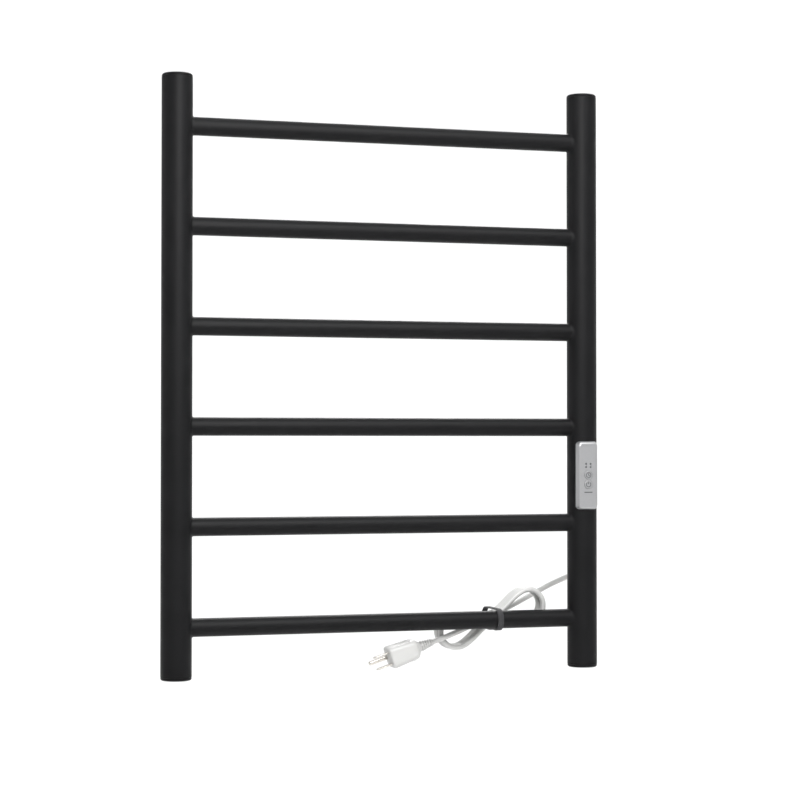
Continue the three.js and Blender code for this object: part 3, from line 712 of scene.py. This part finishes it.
# The cord's way from its strain relief to the hank: X, distance behind the posts' axes, Z.
CORD_ROUTE = [
    (222.5, 37.3, -215.3),
    (222.5, 41, -215.5),
    (222.3, 45, -216.2),
    (221.2, 49.5, -217.6),
    (218.8, 54, -219.6),
    (215, 57.9, -222),
    (210, 60.8, -224.8),
    (204.2, 62.3, -227.9),
    (197.5, 62.8, -231.2),
    (190.5, 62.2, -234.5),
    (183, 60.6, -237.8),
    (175.5, 58.2, -240.9),
    (168, 55.2, -243.9),
    (160.5, 51.7, -246.6),
    (153, 47.9, -249),
    (143.5, 42.9, -251.4),
]
HANK_TURNS = 4
HANK_PITCH = 5.8  # the cord's shift towards the rail in each turn of the hank
HANK_BACK = 36.7  # the first run's distance behind the rail's axis, at the waist
FOLD_S = 43  # centre of a fold, from the waist
FOLD_R = 17
WAIST = 3.1
TAIL_V = 11
PLUG_S = -73.3


def in_bundle(s, v, t):
    """A point of the bundle: s along it, v behind the rail's axis, t across. Millimetres."""
    return BUNDLE @ Vector((s * MM, v * MM, t * MM))


def half_width(s):
    """The runs' distance from the hank's line: close at the waist, wide at the folds."""
    share = min(1, abs(s) / FOLD_S)
    return WAIST + (FOLD_R - WAIST) * share * share * (3 - 2 * share)


def hank_points():
    """Turn after turn: left along the top, round the left fold, back, round the right fold."""
    runs = 9
    folds = 7
    points = []
    for turn in range(HANK_TURNS):
        wander = (0, 1.3, -0.9, 0.7)[turn]  # no two folds reach quite as far
        loop = []
        for i in range(runs):
            s = -FOLD_S * i / (runs - 1)
            loop.append((s, half_width(s)))
        for i in range(1, folds + 1):
            angle = math.radians(90 + 180 * i / (folds + 1))
            reach = FOLD_R + wander * math.sin(math.pi * i / (folds + 1))
            loop.append((-FOLD_S + reach * math.cos(angle), FOLD_R * math.sin(angle)))
        for i in range(2 * runs - 1):
            s = FOLD_S * (i / (runs - 1) - 1)
            loop.append((s, -half_width(s)))
        for i in range(1, folds + 1):
            angle = math.radians(-90 + 180 * i / (folds + 1))
            reach = FOLD_R - wander * math.sin(math.pi * i / (folds + 1))
            loop.append((FOLD_S + reach * math.cos(angle), FOLD_R * math.sin(angle)))
        for i in range(runs - 1):
            s = FOLD_S * (1 - i / (runs - 1))
            loop.append((s, half_width(s)))
        for i, (s, t) in enumerate(loop):
            v = HANK_BACK - HANK_PITCH * (turn + i / len(loop))
            points.append((s, v, t))
    return points


def cord_points():
    """The whole cord's centre line."""
    lead = [Vector((x, AXIS_Y / MM + v, z)) * MM for x, v, z in CORD_ROUTE]
    entry = [(12.5, 40.2, 1.2), (6.5, 38.1, 2.5)]
    last_v = HANK_BACK - HANK_PITCH * HANK_TURNS
    leaving = [
        (0, last_v, 3.1),
        (-9, last_v - 0.4, 2.9),
        (-18, last_v - 0.8, 2.4),
        (-27, last_v - 1.2, 1.8),
        (-36, last_v - 1.6, 1.1),
        (-45, last_v - 2, 0.6),
        (-54, last_v - 2.3, 0.2),
        (-63, TAIL_V, 0),
        (PLUG_S, TAIL_V, 0),
    ]
    wound = [in_bundle(*p) for p in [*entry, *hank_points(), *leaving]]
    return lead + wound


def smooth_line(points, per_span=3):
    """A centripetal curve through the points."""
    line = []
    padded = [points[0] * 2 - points[1], *points, points[-1] * 2 - points[-2]]
    for p0, p1, p2, p3 in zip(padded, padded[1:], padded[2:], padded[3:]):
        knots = [0.0]
        for a, b in ((p0, p1), (p1, p2), (p2, p3)):
            knots.append(knots[-1] + max((b - a).length, 1e-9) ** 0.5)
        k0, k1, k2, k3 = knots
        for i in range(per_span):
            k = k1 + (k2 - k1) * i / per_span
            a1 = p0 * ((k1 - k) / (k1 - k0)) + p1 * ((k - k0) / (k1 - k0))
            a2 = p1 * ((k2 - k) / (k2 - k1)) + p2 * ((k - k1) / (k2 - k1))
            a3 = p2 * ((k3 - k) / (k3 - k2)) + p3 * ((k - k2) / (k3 - k2))
            b1 = a1 * ((k2 - k) / (k2 - k0)) + a2 * ((k - k0) / (k2 - k0))
            b2 = a2 * ((k3 - k) / (k3 - k1)) + a3 * ((k - k1) / (k3 - k1))
            line.append(b1 * ((k2 - k) / (k2 - k1)) + b2 * ((k - k1) / (k2 - k1)))
    line.append(points[-1])
    return line


def make_cord():
    """The cord as one curve, with its line and its length."""
    line = smooth_line(cord_points())
    curve = bpy.data.curves.new("mains_cord", "CURVE")
    curve.dimensions = "3D"
    curve.bevel_depth = CORD_D / 2
    curve.bevel_resolution = 8
    curve.use_fill_caps = True
    spline = curve.splines.new("POLY")
    spline.points.add(len(line) - 1)
    for knot, place in zip(spline.points, line):
        knot.co = (*place, 1)
    spline.use_smooth = True
    curve.materials.append(PVC)
    obj = bpy.data.objects.new("mains_cord", curve)
    bpy.context.scene.collection.objects.link(obj)
    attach(obj, BODY)
    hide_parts("cord_lead", "cord_hank", "cord_tail")
    length = sum((b - a).length for a, b in zip(line, line[1:]))
    return obj, line, length


def make_strain_relief():
    """A moulded bush in the post's rear, its nose a stack of flexing ribs."""
    # (radius, distance behind the post's axis), in millimetres.
    profile = [(0, 11.5), (6.2, 11.5), (6.2, 12.7), (4.2, 12.7), (4.2, 16.2), (6.6, 16.2)]
    profile += [(6.6, 17.8), (6.2, 18.3), (5.2, 18.6)]
    for i in range(6):
        v = 19.2 + 2.75 * i
        outer = 5.0 - 0.25 * i
        profile += [(outer - 0.9, v), (outer, v + 0.3), (outer - 0.1, v + 1.5)]
        profile.append((outer - 1.0, v + 1.9))
    profile += [(3.35, 36.2), (3.05, 37), (2.7, 37), (0, 37)]
    turned = [(radius * MM, v * MM) for radius, v in profile]
    mesh = lathe("cord_bush", "y", turned, (POST_X, AXIS_Y, RELIEF_Z), 64, 40, closed=False)
    bush = add_object("cord_bush", mesh, PVC)
    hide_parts("cord_strain_relief")


# ---------------------------------------------------------------- plug
def bundle_mesh(name, rings, **options):
    """Rings of (s, v, t) points of the bundle's frame, in millimetres."""
    return grid_mesh(name, [[in_bundle(*p) for p in ring] for ring in rings], **options)


PLUG_SECTIONS = [  # s, half of its depth, half of its height, corner radius
    (-88.0, 4.6, 4.4, 4.3),
    (-90.5, 6.6, 6.2, 5.6),
    (-92.2, 9.0, 8.0, 6.2),
    (-94.2, 11.0, 9.7, 6.2),
    (-97.0, 11.9, 10.5, 6.0),
    (-101.0, 12.1, 10.6, 5.6),
    (-107.0, 12.3, 10.6, 5.4),
    (-113.0, 12.8, 10.9, 5.2),
    (-118.0, 13.0, 11.2, 5.0),
    (-122.6, 13.0, 11.25, 5.0),
    (-123.9, 12.7, 10.95, 4.7),
    (-124.6, 12.0, 10.3, 4.1),
]
GRIP_RIBS = 6
PIN_ROOT = -124.0
BLADE = [  # s, half of its width, half of its thickness
    (PIN_ROOT, 3.15, 0.75),
    (-139.4, 3.15, 0.75),
    (-141.2, 2.75, 0.5),
    (-142.1, 2.3, 0.32),
]
BLADE_V = 7
BLADE_T = 6.35
EARTH_PIN = [(PIN_ROOT, 2.4), (-143.2, 2.4), (-144.6, 2.2), (-145.4, 1.6), (-145.6, 0.7)]
EARTH_V = TAIL_V + 7.9


def plug_relief():
    """The ribbed sleeve that the cord runs into, growing towards the plug."""
    ribs = []
    for i in range(5):
        outer = 3.8 + 0.42 * i
        s = -75.0 - 2.7 * i
        ribs += [(outer - 0.85, s + 0.5), (outer, s + 0.15), (outer + 0.08, s - 1.35)]
        ribs.append((outer - 0.75, s - 1.7))
    profile = [(2.7, -73.5), (3.2, -73.5), (3.3, -74.2), *ribs, (4.6, -88.6), (2.7, -88.6)]
    rings = [[(s, TAIL_V + a, b) for a, b in circle(radius, 48)] for radius, s in profile]
    return bundle_mesh("plug_relief", rings, closed_along=True, sharp=40)


def grip_rib(index, side):
    """A half-round rib across the top or the bottom of the grip, sagging at its two ends."""
    s = -100.2 - 2.6 * index
    base = 10.65 if index > 3 else 10.35
    crown = 0.12
    rings = []
    for v, lift in ((-7.6, 0), (0, crown), (7.6, 0)):
        outline = []
        for turn in (math.pi * step / 8 for step in range(9)):
            t = side * (base + lift + 0.55 * math.sin(turn))
            outline.append((s + 0.75 * math.cos(turn), TAIL_V + v, t))
        rings.append(outline)
    return bundle_mesh("rib", rings, cap_ends=True, sharp=50)


def make_plug():
    """A moulded three-pin plug: a ribbed relief, a waisted grip and a flat pin face."""
    form = []
    for s, deep, tall, corner in PLUG_SECTIONS:
        form.append([(s, TAIL_V + a, b) for a, b in rounded_outline(deep, tall, corner)])
    meshes = [bundle_mesh("plug_form", form, cap_ends=True, sharp=50), plug_relief()]
    meshes += [grip_rib(i, side) for side in (-1, 1) for i in range(GRIP_RIBS)]
    mesh = join_meshes("mains_plug", meshes, 45)
    plug = add_object("mains_plug", mesh, PLUG_PLASTIC)
    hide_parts("plug_body")
    pieces = [plug]
    for level, t in (("upper", BLADE_T), ("lower", -BLADE_T)):
        rings = []
        for s, wide, thick in BLADE:
            outline = rounded_outline(wide, thick, thick * 0.45, 3)
            rings.append([(s, BLADE_V + a, t + b) for a, b in outline])
        name = f"{level}_line_pin"
        pin = add_object(name, bundle_mesh(name, rings, cap_ends=True), NICKEL)
        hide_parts(f"plug_blade_{level}")
        pieces.append(pin)
    rings = [[(s, EARTH_V + a, b) for a, b in circle(radius, 40)] for s, radius in EARTH_PIN]
    name = "round_earth_pin"
    pin = add_object(name, bundle_mesh(name, rings, cap_ends=True), NICKEL)
    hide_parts("plug_earth_pin")
    pieces.append(pin)
    return pieces


# ---------------------------------------------------------------- strap
def strap_band(name, line, lift, half, thickness, closed):
    """Webbing along a line of (v, height) points round the rail, lifted off that line."""
    dull = 0.25
    section = [(-half, dull), (dull - half, 0), (half - dull, 0), (half, dull)]
    section += [(x, thickness - rise) for x, rise in reversed(section)]
    last = len(line) - 1
    rings = []
    for i, here in enumerate(line):
        before = line[i - 1] if closed or i else here
        after = line[(i + 1) % len(line)] if closed or i < last else here
        along = (Vector(after) - Vector(before)).normalized()
        ring = []
        for x, rise in section:
            v = here[0] + along.y * (lift + rise)
            z = here[1] - along.x * (lift + rise)
            ring.append((STRAP_X + x * MM, AXIS_Y + v * MM, RAIL_Z[-1] + z * MM))
        rings.append(ring)
    return grid_mesh(name, rings, closed_along=closed, cap_ends=not closed, sharp=60)


def make_strap():
    """A hook-and-loop strap round the rail and the hank's waist, its end lapped over."""
    bend = 10.35
    front = 0.85
    back = 33.6
    thickness = 1.25
    loop_line = arc((back, 0), bend, -90, 90, 24) + arc((front, 0), bend, 90, 270, 36)
    lap_line = [(back - 13 + 3.25 * i, -bend) for i in range(4)]
    lap_line += arc((back, 0), bend, -90, 35, 16)
    loop = strap_band("strap_loop", loop_line, 0, 3, thickness, True)
    lap = strap_band("strap_lap", lap_line, thickness + 0.05, 2.85, 1.1, False)
    mesh = join_meshes("hook_and_loop_strap", [loop, lap], 60)
    strap = add_object("hook_and_loop_strap", mesh, WEBBING)
    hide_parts("hank_strap")
    return strap


cord, cord_line, cord_length = make_cord()
make_strain_relief()
plug_pieces = make_plug()
strap_piece = make_strap()


# ---------------------------------------------------------------- pieces kept as they are
KEPT = {
    "heating_cable": SILICONE,
    "thermal_cutout": CREAM,
    "crimp_splice": CREAM,
    "line_lead": BLACK_PLASTIC,
    "return_lead": BLACK_PLASTIC,
    "inner_mains_lead": PVC,
    "earth_lug": ZINC,
    "earth_ring_terminal": BRASS,
    "earth_screw": BRASS,
    "earth_lead": EARTH_GREEN,
    "control_carrier": BLACK_PLASTIC,
    "control_board": BOARD,
    "board_screw_upper": ZINC,
    "board_screw_lower": ZINC,
    "relay": BLACK_PLASTIC,
    "capacitor": FILM,
    "terminal_block": CREAM,
    "timer_switch": BLACK_PLASTIC,
    "power_switch": BLACK_PLASTIC,
    "timer_switch_plunger": BLACK_PLASTIC,
    "power_switch_plunger": BLACK_PLASTIC,
    "lamp_upper_left": RESIN,
    "lamp_upper_right": RESIN,
    "lamp_lower_left": RESIN,
    "lamp_lower_right": RESIN,
}
for node_name, node_material in KEPT.items():
    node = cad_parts[node_name]
    node.data.materials.clear()
    node.data.materials.append(node_material)
    node.data.shade_smooth()
    node.data.set_sharp_from_angle(angle=math.radians(35))


# ---------------------------------------------------------------- studio
def make_dish():
    """A pale floor that curves up into a wall all round."""
    sides = 128
    floor_z = -0.75
    flat = 4.0
    bend = 2.5
    rim = 5.0
    profile = [(0.01, 0), (1.5, 0), (3, 0)]
    profile += [(flat + bend * math.sin(a), bend * (1 - math.cos(a)))
                for a in (math.radians(9 * i) for i in range(11))]
    profile.append((flat + bend, bend + rim))
    rings = [[(x, y, floor_z + z) for x, y in circle(r, sides)] for r, z in profile]
    mesh = grid_mesh("studio_floor", rings, sharp=180)
    material, tree, shader = new_material("studio_white", (0.86, 0.86, 0.86), 0.9)
    vary_roughness(tree, shader, noise(tree, 2, 2), 0.86, 0.94)
    mesh.materials.append(material)
    floor = bpy.data.objects.new("studio_floor", mesh)
    bpy.context.scene.collection.objects.link(floor)


def soft_light(name, place, target, size, power):
    """A rectangular area light at place, turned to its target."""
    data = bpy.data.lights.new(name, "AREA")
    data.shape = "RECTANGLE"
    data.size, data.size_y = size
    data.energy = power
    light = bpy.data.objects.new(name, data)
    light.location = place
    aim = Vector(target) - Vector(place)
    light.rotation_euler = aim.to_track_quat("-Z", "Y").to_euler()
    bpy.context.scene.collection.objects.link(light)


def make_world():
    world = bpy.data.worlds.new("studio_world")
    world.use_nodes = True
    background = world.node_tree.nodes["Background"]
    background.inputs["Color"].default_value = (1, 1, 1, 1)
    background.inputs["Strength"].default_value = 1.62
    bpy.context.scene.world = world


bpy.context.scene.view_settings.view_transform = "Standard"
make_world()
make_dish()
soft_light("key_light", (-0.13, -1.0, 0.38), (0, 0, 0.12), (0.42, 0.26), 8)
soft_light("top_light", (0.1, -1.1, 1.1), (0, 0, 0), (1.3, 0.4), 26)
soft_light("rear_light", (0.5, 1.5, 0.9), (0, 0, 0), (0.7, 0.5), 16)
